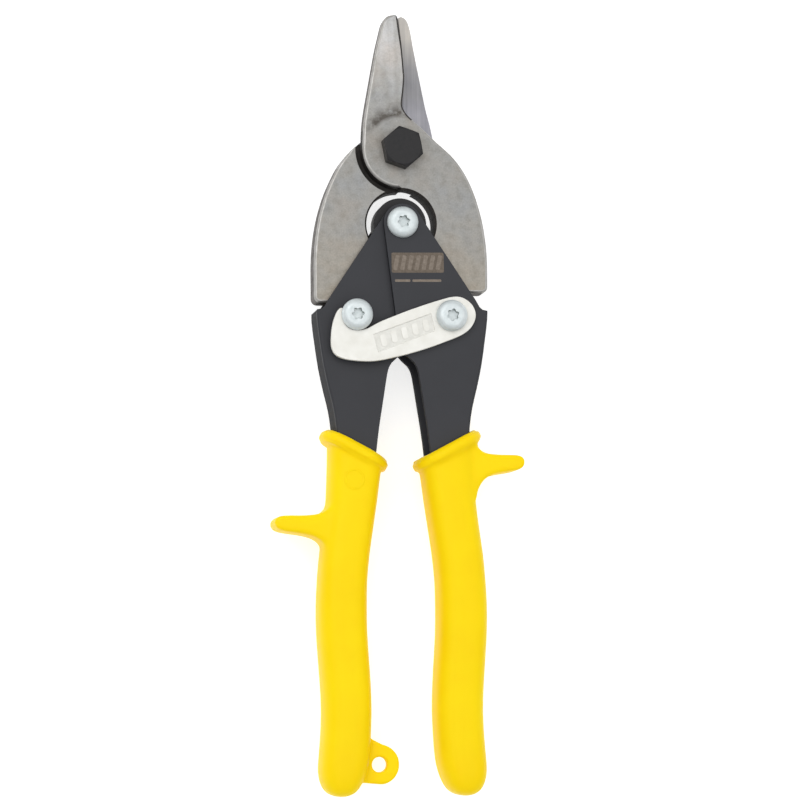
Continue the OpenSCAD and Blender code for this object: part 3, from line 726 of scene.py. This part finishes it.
def bar(x, y, wide, high, angle=0.0, corner=0.25, steps=4):
    """A bar with round corners about (x, y), turned by an angle in degrees."""
    points = []
    for cx, cy, start in ((1, 1, 0), (-1, 1, 90), (-1, -1, 180), (1, -1, 270)):
        for k in range(steps + 1):
            a = math.radians(start + 90 * k / steps)
            points.append((cx * (wide / 2 - corner) + corner * math.cos(a),
                           cy * (high / 2 - corner) + corner * math.sin(a)))
    turn = math.radians(angle)
    return [(x + px * math.cos(turn) - py * math.sin(turn), y + px * math.sin(turn) + py * math.cos(turn))
            for px, py in points]


def on_lever(piece, node, material):
    """A mark or rib that rides with a node's body, in the given finish."""
    piece.data.materials.append(MATERIALS[material])
    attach(piece, BODY_OF[node])


MARK_AT = (4.6, -35.5)
MARK_LEAN = 0.9                 # degrees
MARK_SIZE = (16.2, 6.2)
STROKES = 7
STROKE_STEP = 2.2
STROKE_RISE = 0.036             # how much each stroke stands above the one before, to follow the lean
STROKE_SIZE = (1.3, 4.6)
STROKE_SLANT = 12               # degrees
UNDERLINES = ((-4.7, -5.6, 4.8), (2.8, -5.5, 9.0))      # across and along from the mark's middle, length
UNDERLINE_HIGH = 0.75


def etched_mark():
    """A plain etched block with bars in it, and a broken line under it."""
    x, y = MARK_AT
    ground = [bar(x, y, *MARK_SIZE, MARK_LEAN, 0.5, 6)]
    middle = (STROKES - 1) / 2
    strokes = [bar(x + STROKE_STEP * (k - middle), y + STROKE_RISE * (k - middle), *STROKE_SIZE,
                   MARK_LEAN - STROKE_SLANT, 0.35) for k in range(STROKES)]
    strokes += [bar(x + across, y + along, length, UNDERLINE_HIGH, MARK_LEAN, 0.3)
                for across, along, length in UNDERLINES]
    on_lever(slab_of_outlines("etched_block", ground, PLATE_TOP - 0.03, PLATE_TOP + 0.01), "handle_right",
             "etched_brown")
    on_lever(slab_of_outlines("etched_bars", strokes, PLATE_TOP - 0.02, PLATE_TOP + 0.02), "handle_right",
             "etched_pale")


RIBS_AT = (0.1, -57.4)
RIBS_LEAN = 20.0                # degrees
RIBS = 5
RIB_STEP = 3.48
RIB_SIZE = (1.7, 3.6)
RIB_SLANT = 8                   # degrees
RIB_HIGH = 0.25


def latch_ribs():
    """Plain raised bars side by side in the latch's panel."""
    floor_z = LATCH_TOP - PANEL_DEEP
    along = Vector((math.cos(math.radians(RIBS_LEAN)), math.sin(math.radians(RIBS_LEAN))))
    spots = [Vector(RIBS_AT) + along * (RIB_STEP * (k - (RIBS - 1) / 2)) for k in range(RIBS)]
    bars = [bar(spot.x, spot.y, *RIB_SIZE, RIBS_LEAN - RIB_SLANT, 0.7) for spot in spots]
    on_lever(slab_of_outlines("latch_ribs", bars, floor_z - 0.05, floor_z + RIB_HIGH), "latch", "latch_plate")


etched_mark()
latch_ribs()


for name, obj in NODES.items():
    obj.data.materials.clear()
    obj.data.materials.append(MATERIALS[SLOT_OF[name]])


# ---------- stage ----------

FLOOR_GLOW = 0.70
WALL_LIGHT = 0.50               # the room at the height of the table, and overhead
CEILING_LIGHT = 0.6
SOFTBOXES = (                   # name, place, size, brightness that it gives the tool
    ("key", (-0.5, 0.45, 1.0), (0.8, 0.8), 0.29),
    ("overhead", (0.15, -0.15, 1.5), (1.2, 1.2), 0.20),
    ("fill", (0.75, 0.2, 0.7), (0.6, 0.9), 0.06),
)
CAMERA_YAW, CAMERA_PITCH, CAMERA_ROLL = 9.5, 5.5, 0.4       # degrees
CAMERA_AIM = (0.1, -77)
CAMERA_AWAY = 0.9
CAMERA_LENS = 132


def make_floor():
    """A sheet of white paper that glows a little, as if lit from below."""
    bm = bmesh.new()
    bmesh.ops.create_grid(bm, x_segments=1, y_segments=1, size=3.0)
    floor = new_piece("floor", bm)
    s = Shader("floor_paper", Roughness=0.9)
    s.surface.inputs["Emission Color"].default_value = (1, 1, 1, 1)
    s.surface.inputs["Emission Strength"].default_value = FLOOR_GLOW
    s.feed("Base Color", s.ramp(s.noise(4, 2), (0.3, (0.58, 0.58, 0.58)), (0.7, (0.6, 0.6, 0.6))))
    floor.data.materials.append(s.mat)


def area_light(name, at, size, brightness):
    """A softbox aimed at the tool, strong enough to make a white sheet under it that bright."""
    at = Vector(at)
    data = bpy.data.lights.new(name, "AREA")
    data.shape = "RECTANGLE"
    data.size, data.size_y = size
    data.energy = brightness * math.pi ** 2 * at.length_squared * at.length / at.z
    lamp = bpy.data.objects.new(name, data)
    lamp.location = at
    lamp.rotation_euler = at.to_track_quat("Z", "Y").to_euler()
    bpy.context.scene.collection.objects.link(lamp)


def make_lights():
    """The softboxes, and a grey room that is a little brighter overhead."""
    for box in SOFTBOXES:
        area_light(*box)
    world = bpy.data.worlds.new("studio")
    world.use_nodes = True
    tree = world.node_tree
    background = tree.nodes["Background"]
    background.inputs["Strength"].default_value = 1.0
    direction = tree.nodes.new("ShaderNodeTexCoord")
    split = tree.nodes.new("ShaderNodeSeparateXYZ")
    ramp = tree.nodes.new("ShaderNodeValToRGB")
    tree.links.new(direction.outputs["Generated"], split.inputs[0])
    tree.links.new(split.outputs["Z"], ramp.inputs["Fac"])
    tree.links.new(ramp.outputs["Color"], background.inputs["Color"])
    for element, (height, grey) in zip(ramp.color_ramp.elements, ((0.0, WALL_LIGHT), (1.0, CEILING_LIGHT))):
        element.position = height
        element.color = (grey, grey, grey, 1)
    bpy.context.scene.world = world


def make_camera():
    """Nearly straight above the tool, a little to its left and below its middle."""
    yaw, pitch, roll = map(math.radians, (CAMERA_YAW, CAMERA_PITCH, CAMERA_ROLL))
    back = Vector((-math.sin(yaw) * math.cos(pitch), -math.sin(pitch), math.cos(yaw) * math.cos(pitch)))
    right = Vector((0, 1, 0)).cross(back).normalized()
    up = back.cross(right)
    turn = Matrix((right, up, back)).transposed().to_4x4() @ Matrix.Rotation(-roll, 4, "Z")
    data = bpy.data.cameras.new("camera")
    data.sensor_width = 36
    data.lens = CAMERA_LENS
    data.clip_start = 0.05
    data.clip_end = 20
    camera = bpy.data.objects.new("camera", data)
    camera.matrix_world = Matrix.Translation(local(*CAMERA_AIM) + back * CAMERA_AWAY) @ turn
    bpy.context.scene.collection.objects.link(camera)
    bpy.context.scene.camera = camera


make_floor()
make_lights()
make_camera()
bpy.context.scene.view_settings.view_transform = "Standard"
